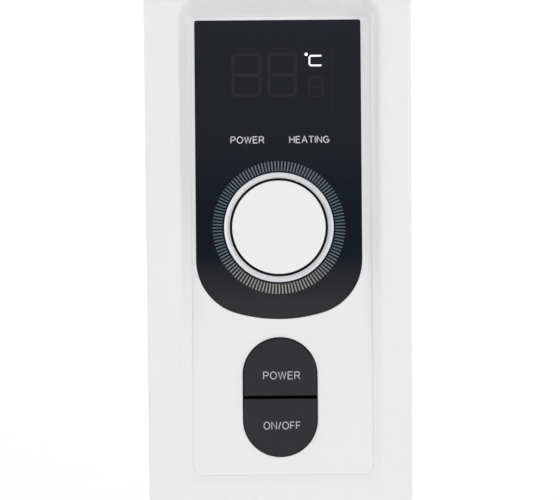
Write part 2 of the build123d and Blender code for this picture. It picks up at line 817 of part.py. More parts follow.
# ---------------------------------------------------------------- power board and its parts
power_board_corner = 2.0
board_screw_head_height, control_screw_bite, power_screw_bite = 1.8, 6.5, 7.0
relay_xs, relay_drop, relay_corner, relay_edge = (-24.0, 0.0), 26.0, 0.8, 0.6
bobbin_width, bobbin_height = 34.0, 30.0
core_width, core_height, core_depth = 38.0, 24.0, 20.0
terminal_width, terminal_height, terminal_depth = 44.0, 12.0, 16.0
terminal_pitch, terminal_screw_radius, terminal_screw_depth = 9.0, 2.2, 5.0
with BuildPart() as power_pcb:
    with BuildSketch(upright(power_board_back_y)):
        with Locations((0, power_board_z)):
            RectangleRounded(power_board_width, power_board_height, power_board_corner)
        with Locations(*power_spots):
            Circle(board_screw_hole, mode=Mode.SUBTRACT)
    extrude(amount=board_thickness)
power_pcb.part.label = "power_pcb"
export_step(power_pcb.part, "parts/power_pcb.step")

with BuildPart() as pcb_screws:
    with BuildSketch(panel.offset(board_front - board_thickness)):
        for v in board_screw_v:
            with Locations((-board_screw_x, v), (board_screw_x, v)):
                Circle(board_screw_head)
    extrude(amount=-board_screw_head_height)
    with BuildSketch(panel.offset(board_front - board_thickness)):
        for v in board_screw_v:
            with Locations((-board_screw_x, v), (board_screw_x, v)):
                Circle(board_screw_radius)
    extrude(amount=control_screw_bite)
    with BuildSketch(upright(power_board_front_y)):
        with Locations(*power_spots):
            Circle(board_screw_head)
    extrude(amount=board_screw_head_height)
    with BuildSketch(upright(power_board_front_y)):
        with Locations(*power_spots):
            Circle(board_screw_radius)
    extrude(amount=-power_screw_bite)
pcb_screws.part.label = "pcb_screws"
export_step(pcb_screws.part, "parts/pcb_screws.step")

with BuildPart() as relays:
    with BuildSketch(upright(power_board_front_y)):
        with Locations(*[(x, power_board_z - relay_drop) for x in relay_xs]):
            RectangleRounded(relay_width, relay_height, relay_corner)
    extrude(amount=relay_height)
    fillet(relays.faces().group_by(Axis.Y)[0].edges(), relay_edge)
relays.part.label = "relays"
export_step(relays.part, "parts/relays.step")

with BuildPart() as transformer:
    with BuildSketch(upright(power_board_front_y)):
        with Locations((transformer_x, transformer_z)):
            Rectangle(bobbin_width, bobbin_height)
    extrude(amount=bobbin_depth)
    with BuildSketch(upright(power_board_front_y - bobbin_depth)):
        with Locations((transformer_x, transformer_z)):
            Rectangle(core_width, core_height)
    extrude(amount=core_depth)
transformer.part.label = "transformer"
export_step(transformer.part, "parts/transformer.step")

terminal_z = power_board_z - power_board_height / 2 + terminal_pitch
with BuildPart() as terminal_block:
    with BuildSketch(upright(power_board_front_y)):
        with Locations((0, terminal_z)):
            Rectangle(terminal_width, terminal_height)
    extrude(amount=terminal_depth)
    with BuildSketch(upright(power_board_front_y - terminal_depth)):
        with GridLocations(terminal_pitch, terminal_pitch, 5, 1):
            with Locations((0, terminal_z)):
                Circle(terminal_screw_radius)
    extrude(amount=-terminal_screw_depth, mode=Mode.SUBTRACT)
terminal_block.part.label = "terminal_block"
export_step(terminal_block.part, "parts/terminal_block.step")

lead_radius, lead_bend = 1.6, 5.0
lead_top_z = terminal_z - terminal_height / 2
pin_end_y = element_flange_y - element_flange_length - element_pin_length
lead_y = power_board_front_y - terminal_depth / 2
with BuildPart() as element_leads:
    for x in (-element_tube_x, element_tube_x):
        with BuildLine() as lead_path:
            FilletPolyline(
                (x, lead_y, lead_top_z), (x, lead_y, lower_header_z), (x, pin_end_y, lower_header_z),
                radius=lead_bend,
            )
        with BuildSketch(Plane(origin=lead_path.line @ 0, z_dir=lead_path.line % 0)):
            Circle(lead_radius)
        sweep(path=lead_path.line)
element_leads.part.label = "element_leads"
export_step(element_leads.part, "parts/element_leads.step")

ribbon_half_width = 7.0
ribbon_thickness = 0.9
ribbon_stub, ribbon_bend, ribbon_inset = 16.0, 6.0, 12.0
ribbon_v = board_bottom + 10
ribbon_start = panel.from_local_coords((0, ribbon_v, board_front - board_thickness))
ribbon_end_z = power_board_z + power_board_height / 2 - ribbon_inset
with BuildPart() as ribbon_cable:
    with BuildLine() as ribbon_path:
        FilletPolyline(
            (0, ribbon_start.Y, ribbon_start.Z),
            (0, ribbon_start.Y + ribbon_stub * lean_cos, ribbon_start.Z - ribbon_stub * lean_sin),
            (0, power_board_front_y - ribbon_stub, ribbon_end_z),
            (0, power_board_front_y, ribbon_end_z),
            radius=ribbon_bend,
        )
    with BuildSketch(Plane(origin=ribbon_path.line @ 0, x_dir=(1, 0, 0), z_dir=ribbon_path.line % 0)):
        Rectangle(2 * ribbon_half_width, ribbon_thickness)
    sweep(path=ribbon_path.line)
ribbon_cable.part.label = "ribbon_cable"
export_step(ribbon_cable.part, "parts/ribbon_cable.step")

tab_reach, tab_thickness, tab_width, tab_length = 3.5, 0.8, 6.3, 8.0
with BuildPart() as thermal_cutout:
    with BuildSketch(upright(back_y)):
        with Locations((cutout_x, cutout_z)):
            Circle(cutout_radius)
    extrude(amount=cutout_depth)
    with BuildSketch(upright(back_y - cutout_depth)):
        with Locations((cutout_x - tab_reach, cutout_z), (cutout_x + tab_reach, cutout_z)):
            Rectangle(tab_thickness, tab_width)
    extrude(amount=tab_length)
thermal_cutout.part.label = "thermal_cutout"
export_step(thermal_cutout.part, "parts/thermal_cutout.step")

sensor_x, sensor_y = -40.0, seam_y + 10.0
sensor_width, sensor_depth, sensor_base = 12.0, 8.0, 3.0
sensor_radius, sensor_length, sensor_tip = 2.5, 14.0, 2.0
casing_floor = casing_bottom + casing_wall
with BuildPart() as room_sensor:
    with BuildSketch(Plane.XY.offset(casing_floor)):
        with Locations((sensor_x, sensor_y)):
            Rectangle(sensor_width, sensor_depth)
    extrude(amount=sensor_base)
    with BuildSketch(Plane.XY.offset(casing_floor + sensor_base)):
        with Locations((sensor_x, sensor_y)):
            Circle(sensor_radius)
    extrude(amount=sensor_length)
    fillet(room_sensor.faces().sort_by(Axis.Z)[-1].edges(), sensor_tip)
room_sensor.part.label = "room_sensor"
export_step(room_sensor.part, "parts/room_sensor.step")

# ---------------------------------------------------------------- tilt switch
tilt_x = -4.0
tilt_y = seam_y + 16
tilt_pivot_z = casing_floor + 27
tilt_pin_radius, tilt_pin_length = 1.5, 13.8
tilt_width, tilt_depth, tilt_height, tilt_corner = 30.0, 16.0, 33.0, 1.5
tilt_room_width, tilt_room_depth, tilt_wall = 27.0, 12.0, 2.0
tilt_arm_width, tilt_arm_length, tilt_arm_depth = 3.0, 16.0, 4.0
tilt_weight_radius, tilt_weight_drop, tilt_weight_depth = 5.0, 17.0, 9.0
tilt_hole_length = tilt_pin_length + 0.6
with BuildPart() as tilt_switch_body:
    with BuildSketch(Plane.XY.offset(casing_floor)):
        with Locations((tilt_x, tilt_y)):
            RectangleRounded(tilt_width, tilt_depth, tilt_corner)
    extrude(amount=tilt_height)
    with BuildSketch(Plane.XY.offset(casing_floor + tilt_wall)):
        with Locations((tilt_x, tilt_y)):
            Rectangle(tilt_room_width, tilt_room_depth)
    extrude(amount=tilt_height - 2 * tilt_wall, mode=Mode.SUBTRACT)
    with BuildSketch(upright(tilt_y - tilt_hole_length / 2)):
        with Locations((tilt_x, tilt_pivot_z)):
            Circle(tilt_pin_radius + running_gap)
    extrude(amount=-tilt_hole_length, mode=Mode.SUBTRACT)
tilt_switch_body.part.label = "tilt_switch_body"
export_step(tilt_switch_body.part, "parts/tilt_switch_body.step")

with BuildPart() as tilt_pendulum:
    with BuildSketch(upright(tilt_y - tilt_pin_length / 2)):
        with Locations((tilt_x, tilt_pivot_z)):
            Circle(tilt_pin_radius)
    extrude(amount=-tilt_pin_length)
    with BuildSketch(upright(tilt_y - tilt_arm_depth / 2)):
        with Locations((tilt_x, tilt_pivot_z - tilt_arm_length / 2)):
            Rectangle(tilt_arm_width, tilt_arm_length)
    extrude(amount=-tilt_arm_depth)
    with BuildSketch(upright(tilt_y - tilt_weight_depth / 2)):
        with Locations((tilt_x, tilt_pivot_z - tilt_weight_drop)):
            Circle(tilt_weight_radius)
    extrude(amount=-tilt_weight_depth)
tilt_pendulum.part.label = "tilt_pendulum"
export_step(tilt_pendulum.part, "parts/tilt_pendulum.step")

# ---------------------------------------------------------------- handle
handle_corner, handle_gap_corner, handle_round, handle_screw_hole = 18.0, 10.0, 5.0, 13.0
with BuildPart() as handle:
    with BuildSketch(upright(handle_y - handle_depth / 2)) as arch:
        with Locations((0, casing_top + handle_height / 2)):
            Rectangle(2 * handle_half_width, handle_height)
        fillet(arch.vertices().group_by(Axis.Y)[-1], handle_corner)
    extrude(amount=-handle_depth)
    with BuildSketch(upright(handle_y - handle_depth / 2)) as finger_gap:
        with Locations((0, casing_top + (handle_height - handle_bar) / 2)):
            Rectangle(2 * (handle_half_width - handle_leg), handle_height - handle_bar)
        fillet(finger_gap.vertices().group_by(Axis.Y)[-1], handle_gap_corner)
    extrude(amount=-handle_depth, mode=Mode.SUBTRACT)
    round_edges = handle.edges().filter_by_position(Axis.Z, casing_top + 1, casing_top + 2 * handle_height)
    fillet(round_edges.filter_by(lambda e: abs(e.tangent_at(0.5).Y) < 0.1), handle_round)
    with BuildSketch(Plane.XY.offset(casing_top)):
        with Locations((-handle_screw_x, handle_y), (handle_screw_x, handle_y)):
            Circle(steel_screw_radius + running_gap)
    extrude(amount=handle_screw_hole, mode=Mode.SUBTRACT)
handle.part.label = "handle"
export_step(handle.part, "parts/handle.step")

with BuildPart() as handle_screws:
    with BuildSketch(Plane.XY.offset(casing_top - casing_wall)):
        with Locations((-handle_screw_x, handle_y), (handle_screw_x, handle_y)):
            Circle(steel_screw_head)
    extrude(amount=-steel_screw_head_height)
    with BuildSketch(Plane.XY.offset(casing_top - casing_wall)):
        with Locations((-handle_screw_x, handle_y), (handle_screw_x, handle_y)):
            Circle(steel_screw_radius)
    extrude(amount=handle_screw_bite)
handle_screws.part.label = "handle_screws"
export_step(handle_screws.part, "parts/handle_screws.step")

# ---------------------------------------------------------------- feet
foot_corner = 14.0
def foot_profile(drop, inset):
    """Long low arch seen from the front: flat in the middle and a little lower at both ends."""
    top = fin_bottom - drop
    end_top = top - foot_drop
    bottom = fin_bottom - foot_height
    end_bottom = bottom - foot_drop
    reach = foot_half_length - inset
    with BuildSketch(Plane.XY) as outline:
        with BuildLine():
            Polyline(
                (-reach, end_top), (-foot_end_x, end_top), (-foot_flat_x, top), (foot_flat_x, top),
                (foot_end_x, end_top), (reach, end_top), (reach, end_bottom - inset),
                (foot_end_x, end_bottom - inset), (foot_flat_x, bottom - inset),
                (-foot_flat_x, bottom - inset), (-foot_end_x, end_bottom - inset),
                (-reach, end_bottom - inset), close=True,
            )
        make_face()
    return outline.sketch


for place, foot_y in foot_ys.items():
    with BuildPart() as foot:
        with BuildSketch(upright(foot_y - foot_width / 2)):
            add(foot_profile(0, 0))
        extrude(amount=-foot_width)
        fillet(foot.edges().filter_by(Axis.Z).group_by(Axis.X)[0], foot_corner)
        fillet(foot.edges().filter_by(Axis.Z).group_by(Axis.X)[-1], foot_corner)
        with BuildSketch(upright(foot_y - foot_width / 2 + foot_wall)):
            add(foot_profile(foot_wall, foot_corner - 1))
        extrude(amount=-(foot_width - 2 * foot_wall), mode=Mode.SUBTRACT)
        with BuildSketch(Plane.XY.offset(socket_bottom)):
            with Locations((-castor_x, foot_y), (castor_x, foot_y)):
                Circle(socket_radius)
        extrude(amount=fin_bottom - foot_drop - foot_wall / 2 - socket_bottom)
        with BuildSketch(Plane.XY.offset(socket_bottom)):
            with Locations((-castor_x, foot_y), (castor_x, foot_y)):
                Circle(stem_radius + running_gap)
        extrude(amount=stem_top + 0.5 - socket_bottom, mode=Mode.SUBTRACT)
        with BuildSketch(Plane.XY.offset(fin_bottom)):
            with Locations((-ubolt_reach, foot_y), (ubolt_reach, foot_y)):
                Circle(ubolt_radius + running_gap)
        extrude(amount=-2 * foot_wall, mode=Mode.SUBTRACT)
    foot.part.label = f"foot_{place}"
    export_step(foot.part, f"parts/foot_{place}.step")

with BuildPart() as u_bolts:
    for foot_y in foot_ys.values():
        with BuildLine() as bolt_path:
            Line((-ubolt_reach, foot_y, ubolt_end_z), (-ubolt_reach, foot_y, lower_header_z))
            ThreePointArc(
                (-ubolt_reach, foot_y, lower_header_z),
                (0, foot_y, lower_header_z + ubolt_reach),
                (ubolt_reach, foot_y, lower_header_z),
            )
            Line((ubolt_reach, foot_y, lower_header_z), (ubolt_reach, foot_y, ubolt_end_z))
        with BuildSketch(Plane(origin=(-ubolt_reach, foot_y, ubolt_end_z), z_dir=(0, 0, 1))):
            Circle(ubolt_radius)
        sweep(path=bolt_path.line)
u_bolts.part.label = "u_bolts"
export_step(u_bolts.part, "parts/u_bolts.step")

wing_nut_top = fin_bottom - foot_wall
nut_radius, nut_length = 6.0, 7.0
wing_reach, wing_thickness, wing_length, wing_drop = 9.0, 3.0, 12.0, 1.0
nut_spots = [(x, y) for x in (-ubolt_reach, ubolt_reach) for y in foot_ys.values()]
with BuildPart() as wing_nuts:
    with BuildSketch(Plane.XY.offset(wing_nut_top)):
        with Locations(*nut_spots):
            Circle(nut_radius)
            Circle(ubolt_radius + running_gap, mode=Mode.SUBTRACT)
    extrude(amount=-nut_length)
    with BuildSketch(Plane.XY.offset(wing_nut_top - wing_drop)):
        for x, y in nut_spots:
            with Locations((x - wing_reach, y), (x + wing_reach, y)):
                RectangleRounded(wing_reach, wing_thickness, wing_thickness / 3)
    extrude(amount=-wing_length)
wing_nuts.part.label = "wing_nuts"
export_step(wing_nuts.part, "parts/wing_nuts.step")

# ---------------------------------------------------------------- castors
hood_cut, collar_rise, hub_radius = 3.0, 8.0, 8.0
axle_inset, wheel_skin, wheel_round = 2.0, 1.5, 1.5
tread_thickness, wheel_hub_radius, wheel_recess = 4.0, 6.0, 3.0
castor_spots = {
    "front_left": (-castor_x, foot_ys["front"]),
    "front_right": (castor_x, foot_ys["front"]),
    "rear_left": (-castor_x, foot_ys["rear"]),
    "rear_right": (castor_x, foot_ys["rear"]),
}
for place, (stem_x, stem_y) in castor_spots.items():
    wheel_y = stem_y + wheel_trail
    with BuildPart() as castor_hood:
        with BuildSketch(Plane.YZ.offset(stem_x - hood_half_width)):
            with Locations((wheel_y, wheel_radius)):
                Circle(hood_radius)
            with Locations((wheel_y, wheel_radius + hood_radius - hood_cut)):
                Rectangle(4 * hood_radius, 2 * hood_radius, mode=Mode.INTERSECT)
        extrude(amount=2 * hood_half_width)
        with BuildSketch(Plane.XY.offset(wheel_radius + collar_rise)):
            with Locations((stem_x, stem_y)):
                Circle(collar_radius)
        extrude(amount=socket_bottom - moving_gap - wheel_radius - collar_rise)
        for side in (-1, 1):
            with BuildSketch(Plane.YZ.offset(stem_x + side * web_half_width)):
                with Locations((wheel_y, wheel_radius)):
                    Circle(hood_inner_radius)
            extrude(amount=side * 2 * hood_half_width, mode=Mode.SUBTRACT)
        with BuildSketch(Plane.YZ.offset(stem_x - web_half_width)):
            with Locations((wheel_y, wheel_radius)):
                Circle(hub_radius)
        extrude(amount=2 * web_half_width)
        with BuildSketch(Plane.XY.offset(socket_bottom - moving_gap)):
            with Locations((stem_x, stem_y)):
                Circle(stem_radius)
        extrude(amount=stem_top - socket_bottom + moving_gap)
        with BuildSketch(Plane.YZ.offset(stem_x - web_half_width)):
            with Locations((wheel_y, wheel_radius)):
                Circle(axle_radius)
        extrude(amount=2 * web_half_width, mode=Mode.SUBTRACT)
    castor_hood.part.label = f"castor_hood_{place}"
    export_step(castor_hood.part, f"parts/castor_hood_{place}.step")

    with BuildPart() as castor_axle:
        with BuildSketch(Plane.YZ.offset(stem_x - wheel_outer_x + axle_inset)):
            with Locations((wheel_y, wheel_radius)):
                Circle(axle_radius)
        extrude(amount=2 * (wheel_outer_x - axle_inset))
    castor_axle.part.label = f"castor_axle_{place}"
    export_step(castor_axle.part, f"parts/castor_axle_{place}.step")

    with BuildPart() as castor_wheels:
        for side in (-1, 1):
            with BuildSketch(Plane.YZ.offset(stem_x + side * wheel_inner_x)):
                with Locations((wheel_y, wheel_radius)):
                    Circle(wheel_radius)
            extrude(amount=side * (wheel_outer_x - wheel_inner_x))
            with BuildSketch(Plane.YZ.offset(stem_x + side * wheel_outer_x)):
                with Locations((wheel_y, wheel_radius)):
                    Circle(wheel_radius - tread_thickness)
                    Circle(wheel_hub_radius, mode=Mode.SUBTRACT)
            extrude(amount=-side * wheel_recess, mode=Mode.SUBTRACT)
            with BuildSketch(Plane.YZ.offset(stem_x + side * wheel_inner_x)):
                with Locations((wheel_y, wheel_radius)):
                    Circle(axle_radius + running_gap)
            extrude(amount=side * (wheel_outer_x - wheel_inner_x - wheel_skin), mode=Mode.SUBTRACT)
        rims = castor_wheels.edges().filter_by(GeomType.CIRCLE)
        fillet(rims.filter_by(lambda e: abs(e.radius - wheel_radius) < 0.01), wheel_round)
    castor_wheels.part.label = f"castor_wheels_{place}"
    export_step(castor_wheels.part, f"parts/castor_wheels_{place}.step")
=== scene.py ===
import json
import math

import bmesh
import bpy
from mathutils import Matrix, Vector


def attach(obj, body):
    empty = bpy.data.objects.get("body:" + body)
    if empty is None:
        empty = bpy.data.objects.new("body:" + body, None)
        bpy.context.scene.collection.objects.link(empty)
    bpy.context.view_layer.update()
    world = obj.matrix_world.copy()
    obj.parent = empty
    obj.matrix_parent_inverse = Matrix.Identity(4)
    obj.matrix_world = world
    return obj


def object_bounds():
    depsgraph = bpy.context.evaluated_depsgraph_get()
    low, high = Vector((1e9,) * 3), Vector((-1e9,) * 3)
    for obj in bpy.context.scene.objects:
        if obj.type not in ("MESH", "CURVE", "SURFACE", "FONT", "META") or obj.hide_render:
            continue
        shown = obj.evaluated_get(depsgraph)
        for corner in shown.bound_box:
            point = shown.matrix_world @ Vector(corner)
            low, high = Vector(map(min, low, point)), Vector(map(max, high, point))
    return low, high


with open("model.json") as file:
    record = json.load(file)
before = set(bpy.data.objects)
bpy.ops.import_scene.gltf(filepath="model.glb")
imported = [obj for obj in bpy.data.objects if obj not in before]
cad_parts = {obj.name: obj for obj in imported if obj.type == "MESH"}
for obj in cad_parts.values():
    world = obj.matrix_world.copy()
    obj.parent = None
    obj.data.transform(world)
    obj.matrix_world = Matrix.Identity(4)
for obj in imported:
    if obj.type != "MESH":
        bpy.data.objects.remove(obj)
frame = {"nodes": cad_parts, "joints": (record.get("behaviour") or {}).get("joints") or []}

cad_low, cad_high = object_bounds()
nodes = frame["nodes"]
joints = {joint["name"]: joint for joint in frame["joints"]}
scene = bpy.context.scene
scene.view_settings.view_transform = "Standard"
MM = 0.001

# The control panel's own axes: the knob's centre is the origin, u is to the right, v is up the
# panel and h stands out of it. Panel sizes below are in millimetres.
panel_origin = Vector(joints["knob_turn"]["pos_m"])
panel_out = Vector(joints["knob_turn"]["axis"]).normalized()
panel_right = Vector((1, 0, 0))
panel_up = panel_out.cross(panel_right).normalized()
panel_matrix = Matrix.Translation(panel_origin) @ Matrix(
    (panel_right, panel_up, panel_out)
).transposed().to_4x4() @ Matrix.Scale(MM, 4)

DISPLAY_V = 76.4
DIGIT_STROKE = 1.7
LABEL_V = 43.9
TICK_COUNT = 120
TICK_INNER, TICK_OUTER, TICK_WIDTH = 28.3, 33.2, 0.64
PRINT_THICKNESS = 0.03
# The knob's groove: below GROOVE_TOP and between the two radii it is painted black as painted shade.
GROOVE_TOP, GROOVE_INNER, GROOVE_OUTER = 7.45, 22.5, 24.4
# KEYS_REACH and KEY_EDGE_TOP bound the painted shade round the keys.
KEYS_V, KEYS_REACH, KEY_EDGE_TOP = -84.8, 33.0, 0.74


# ---------------------------------------------------------------- materials
NOISE_ROUGHNESS = 0.55
NOISE_LOW, NOISE_HIGH = 0.3, 0.7
# Painted shade: the black that stands in for the shade in gaps and grooves.
SHADE_BLACK = (0.003, 0.003, 0.003, 1)


def new_material(name):
    material = bpy.data.materials.new(name)
    material.use_nodes = True
    tree = material.node_tree
    shader = tree.nodes["Principled BSDF"]
    coords = tree.nodes.new("ShaderNodeTexCoord")
    return material, tree, shader, coords.outputs["Object"]


def noise(tree, coords, scale, detail=3.0):
    node = tree.nodes.new("ShaderNodeTexNoise")
    node.inputs["Scale"].default_value = scale
    node.inputs["Detail"].default_value = detail
    node.inputs["Roughness"].default_value = NOISE_ROUGHNESS
    tree.links.new(coords, node.inputs["Vector"])
    return node.outputs["Fac"]


def ramp(tree, fac, low, high):
    """Runs from one colour to another over the middle of a noise's range."""
    node = tree.nodes.new("ShaderNodeValToRGB")
    node.color_ramp.elements[0].position = NOISE_LOW
    node.color_ramp.elements[1].position = NOISE_HIGH
    node.color_ramp.elements[0].color = (*low, 1)
    node.color_ramp.elements[1].color = (*high, 1)
    tree.links.new(fac, node.inputs["Fac"])
    return node.outputs["Color"]


def spread(tree, fac, low, high):
    """Runs from one number to another over the middle of a noise's range."""
    node = tree.nodes.new("ShaderNodeMapRange")
    node.inputs["From Min"].default_value = NOISE_LOW
    node.inputs["From Max"].default_value = NOISE_HIGH
    node.inputs["To Min"].default_value = low
    node.inputs["To Max"].default_value = high
    tree.links.new(fac, node.inputs["Value"])
    return node.outputs["Result"]


def bump(tree, height, distance, normal=None, strength=1.0):
    node = tree.nodes.new("ShaderNodeBump")
    node.inputs["Strength"].default_value = strength
    node.inputs["Distance"].default_value = distance
    tree.links.new(height, node.inputs["Height"])
    if normal is not None:
        tree.links.new(normal, node.inputs["Normal"])
    return node.outputs["Normal"]


def shade(colour, factor):
    return tuple(min(1.0, channel * factor) for channel in colour)


def moulded(name, colour, roughness, grain=2200.0, depth=0.00002, mottle=0.015):
    """Moulded plastic: a fine spark-eroded grain, and a faint slow change of tone and gloss."""
    material, tree, shader, coords = new_material(name)
    tone = noise(tree, coords, 9.0)
    colours = ramp(tree, tone, shade(colour, 1 - mottle), shade(colour, 1 + mottle))
    tree.links.new(colours, shader.inputs["Base Color"])
    gloss = noise(tree, coords, 60.0)
    tree.links.new(spread(tree, gloss, roughness * 0.92, roughness * 1.08), shader.inputs["Roughness"])
    fine = noise(tree, coords, grain, detail=2.0)
    tree.links.new(bump(tree, fine, depth), shader.inputs["Normal"])
    return material


def enamel(name, colour):
    """Baked enamel on sheet steel: orange peel, a clear gloss and faint dust in the tone."""
    material, tree, shader, coords = new_material(name)
    tone = noise(tree, coords, 6.0)
    tree.links.new(ramp(tree, tone, shade(colour, 0.975), shade(colour, 1.01)), shader.inputs["Base Color"])
    peel = noise(tree, coords, 420.0, detail=1.5)
    ripple = noise(tree, coords, 35.0, detail=1.0)
    slow = bump(tree, ripple, 0.00025, strength=0.5)
    tree.links.new(bump(tree, peel, 0.00003, normal=slow), shader.inputs["Normal"])
    tree.links.new(spread(tree, tone, 0.26, 0.36), shader.inputs["Roughness"])
    shader.inputs["Coat Weight"].default_value = 0.25
    shader.inputs["Coat Roughness"].default_value = 0.12
    return material


def metal(name, colour, roughness, stretch=(1.0, 1.0, 1.0), grain=900.0, depth=0.00001, metallic=1.0):
    """Bare or plated metal: fine drawn or turned lines, and patches of a slightly different gloss."""
    material, tree, shader, coords = new_material(name)
    mapping = tree.nodes.new("ShaderNodeMapping")
    mapping.inputs["Scale"].default_value = stretch
    tree.links.new(coords, mapping.inputs["Vector"])
    lines = noise(tree, mapping.outputs["Vector"], grain, detail=4.0)
    patches = noise(tree, coords, 45.0)
    tree.links.new(ramp(tree, patches, shade(colour, 0.93), shade(colour, 1.04)), shader.inputs["Base Color"])
    tree.links.new(spread(tree, patches, roughness * 0.85, roughness * 1.2), shader.inputs["Roughness"])
    tree.links.new(bump(tree, lines, depth), shader.inputs["Normal"])
    shader.inputs["Metallic"].default_value = metallic
    return material


def math_node(tree, operation, first, second):
    node = tree.nodes.new("ShaderNodeMath")
    node.operation = operation
    for socket, value in zip(node.inputs, (first, second)):
        if isinstance(value, (int, float)):
            socket.default_value = value
        else:
            tree.links.new(value, socket)
    return node.outputs["Value"]


def panel_place(tree, coords, centre):
    """Distance from an axis that stands on the panel at a centre, and height over the panel, in metres."""
    offset = tree.nodes.new("ShaderNodeVectorMath")
    offset.operation = "SUBTRACT"
    offset.inputs[1].default_value = centre
    tree.links.new(coords, offset.inputs[0])
    found = []
    for operation, output in (("CROSS_PRODUCT", "Vector"), ("DOT_PRODUCT", "Value")):
        node = tree.nodes.new("ShaderNodeVectorMath")
        node.operation = operation
        node.inputs[1].default_value = panel_out
        tree.links.new(offset.outputs["Vector"], node.inputs[0])
        found.append(node.outputs[output])
    length = tree.nodes.new("ShaderNodeVectorMath")
    length.operation = "LENGTH"
    tree.links.new(found[0], length.inputs[0])
    return length.outputs["Value"], found[1]


def paint_shade_below(material, centre, top, operation, edge):
    """Painted shade: paints black what lies below a height over the panel and inside or outside a radius
    round a centre, where a gap's or groove's shade falls.
    """
    tree = material.node_tree
    shader = tree.nodes["Principled BSDF"]
    coords = next(node for node in tree.nodes if node.type == "TEX_COORD").outputs["Object"]
    radius, height = panel_place(tree, coords, centre)
    low = math_node(tree, "LESS_THAN", height, top * MM)
    shade_mask = math_node(tree, "MULTIPLY", low, math_node(tree, operation, radius, edge * MM))
    mix = tree.nodes.new("ShaderNodeMix")
    mix.data_type = "RGBA"
    tree.links.new(shade_mask, mix.inputs["Factor"])
    paint = next(socket for socket in mix.inputs if socket.name == "A" and socket.type == "RGBA")
    black = next(socket for socket in mix.inputs if socket.name == "B" and socket.type == "RGBA")
    black.default_value = SHADE_BLACK
    tree.links.new(shader.inputs["Base Color"].links[0].from_socket, paint)
    mixed = next(socket for socket in mix.outputs if socket.type == "RGBA")
    tree.links.new(mixed, shader.inputs["Base Color"])
    if shader.inputs["Metallic"].default_value:
        bright = math_node(tree, "SUBTRACT", 1.0, shade_mask)
        metallic = math_node(tree, "MULTIPLY", bright, shader.inputs["Metallic"].default_value)
        tree.links.new(metallic, shader.inputs["Metallic"])


casing_white = moulded("casing_white", (0.88, 0.88, 0.883), 0.42, depth=0.000012, mottle=0.004)
plate_white = moulded("plate_white", (0.88, 0.88, 0.883), 0.42, depth=0.000012, mottle=0.004)
cap_white = moulded("cap_white", (0.895, 0.895, 0.895), 0.5, depth=0.000012, mottle=0.004)
key_charcoal = moulded("key_charcoal", (0.029, 0.029, 0.033), 0.42, depth=0.000015, mottle=0.04)
key_charcoal.node_tree.nodes["Principled BSDF"].inputs["Specular IOR Level"].default_value = 0.15
window_black = moulded(
    "window_black", (0.0035, 0.0037, 0.0045), 0.05, grain=300.0, depth=0.0000004, mottle=0.1
)
castor_grey = moulded("castor_grey", (0.74, 0.74, 0.75), 0.45, mottle=0.015)
wheel_black = moulded("wheel_black", (0.03, 0.03, 0.032), 0.62, grain=700.0, depth=0.00005, mottle=0.12)
part_black = moulded("part_black", (0.025, 0.025, 0.027), 0.5, mottle=0.1)
part_white = moulded("part_white", (0.74, 0.73, 0.70), 0.5, mottle=0.03)
relay_blue = moulded("relay_blue", (0.03, 0.12, 0.42), 0.3, mottle=0.05)
terminal_green = moulded("terminal_green", (0.06, 0.30, 0.12), 0.45, mottle=0.05)
board_green = moulded("board_green", (0.015, 0.11, 0.045), 0.28, grain=500.0, depth=0.00003, mottle=0.2)
lead_red = moulded("lead_red", (0.5, 0.04, 0.03), 0.6, grain=900.0, depth=0.00004, mottle=0.08)
seal_rubber = moulded("seal_rubber", (0.022, 0.022, 0.023), 0.72, grain=900.0, depth=0.00004, mottle=0.15)
fin_white = enamel("fin_white", (0.84, 0.84, 0.835))
foot_white = enamel("foot_white", (0.82, 0.82, 0.82))
ring_silver = metal("ring_silver", (0.86, 0.865, 0.88), 0.48, grain=2500.0, depth=0.000004, metallic=0.35)
zinc_steel = metal("zinc_steel", (0.66, 0.67, 0.69), 0.34, stretch=(1, 1, 0.15))
axle_steel = metal("axle_steel", (0.6, 0.6, 0.61), 0.28, stretch=(0.1, 1, 1))
turned_brass = metal("turned_brass", (0.80, 0.62, 0.30), 0.3)
element_steel = metal("element_steel", (0.50, 0.46, 0.43), 0.45, stretch=(1, 0.1, 1))
# Painted shade: the groove between the knob's ring and cap is painted black below its top, on both parts, for
# the shade that falls in it.
paint_shade_below(ring_silver, panel_origin, GROOVE_TOP, "LESS_THAN", GROOVE_OUTER)
paint_shade_below(cap_white, panel_origin, GROOVE_TOP, "GREATER_THAN", GROOVE_INNER)
# Painted shade: the plate's key hole and the keys' edges below their top are painted black, for the shade in
# the gap round the keys.
keys_centre = panel_matrix @ Vector((0, KEYS_V, 0))
paint_shade_below(plate_white, keys_centre, -0.1, "LESS_THAN", KEYS_REACH)
paint_shade_below(key_charcoal, keys_centre, KEY_EDGE_TOP, "LESS_THAN", KEYS_REACH)

NODE_MATERIALS = {
    "front_cover": casing_white,
    "rear_housing": casing_white,
    "handle": casing_white,
    "control_plate": plate_white,
    "display_window": window_black,
    "knob_ring": ring_silver,
    "knob_cap": cap_white,
    "button_power": key_charcoal,
    "button_on_off": key_charcoal,
    "encoder_shaft": axle_steel,
    "encoder_body": turned_brass,
    "encoder_nut": turned_brass,
    "control_pcb": board_green,
    "power_pcb": board_green,
    "tact_switches": part_black,
    "led_display": part_black,
    "transformer": part_black,
    "thermal_cutout": part_black,
    "room_sensor": part_black,
    "indicator_leds": part_white,
    "tilt_switch_body": part_white,
    "ribbon_cable": part_white,
    "tact_plunger_power": part_white,
    "tact_plunger_on_off": part_white,
    "relays": relay_blue,
    "terminal_block": terminal_green,
    "element_leads": lead_red,
    "element_gasket": seal_rubber,
    "cord_gland": seal_rubber,
    "heating_element": element_steel,
    "tilt_pendulum": axle_steel,
    "foot_front": foot_white,
    "foot_rear": foot_white,
}
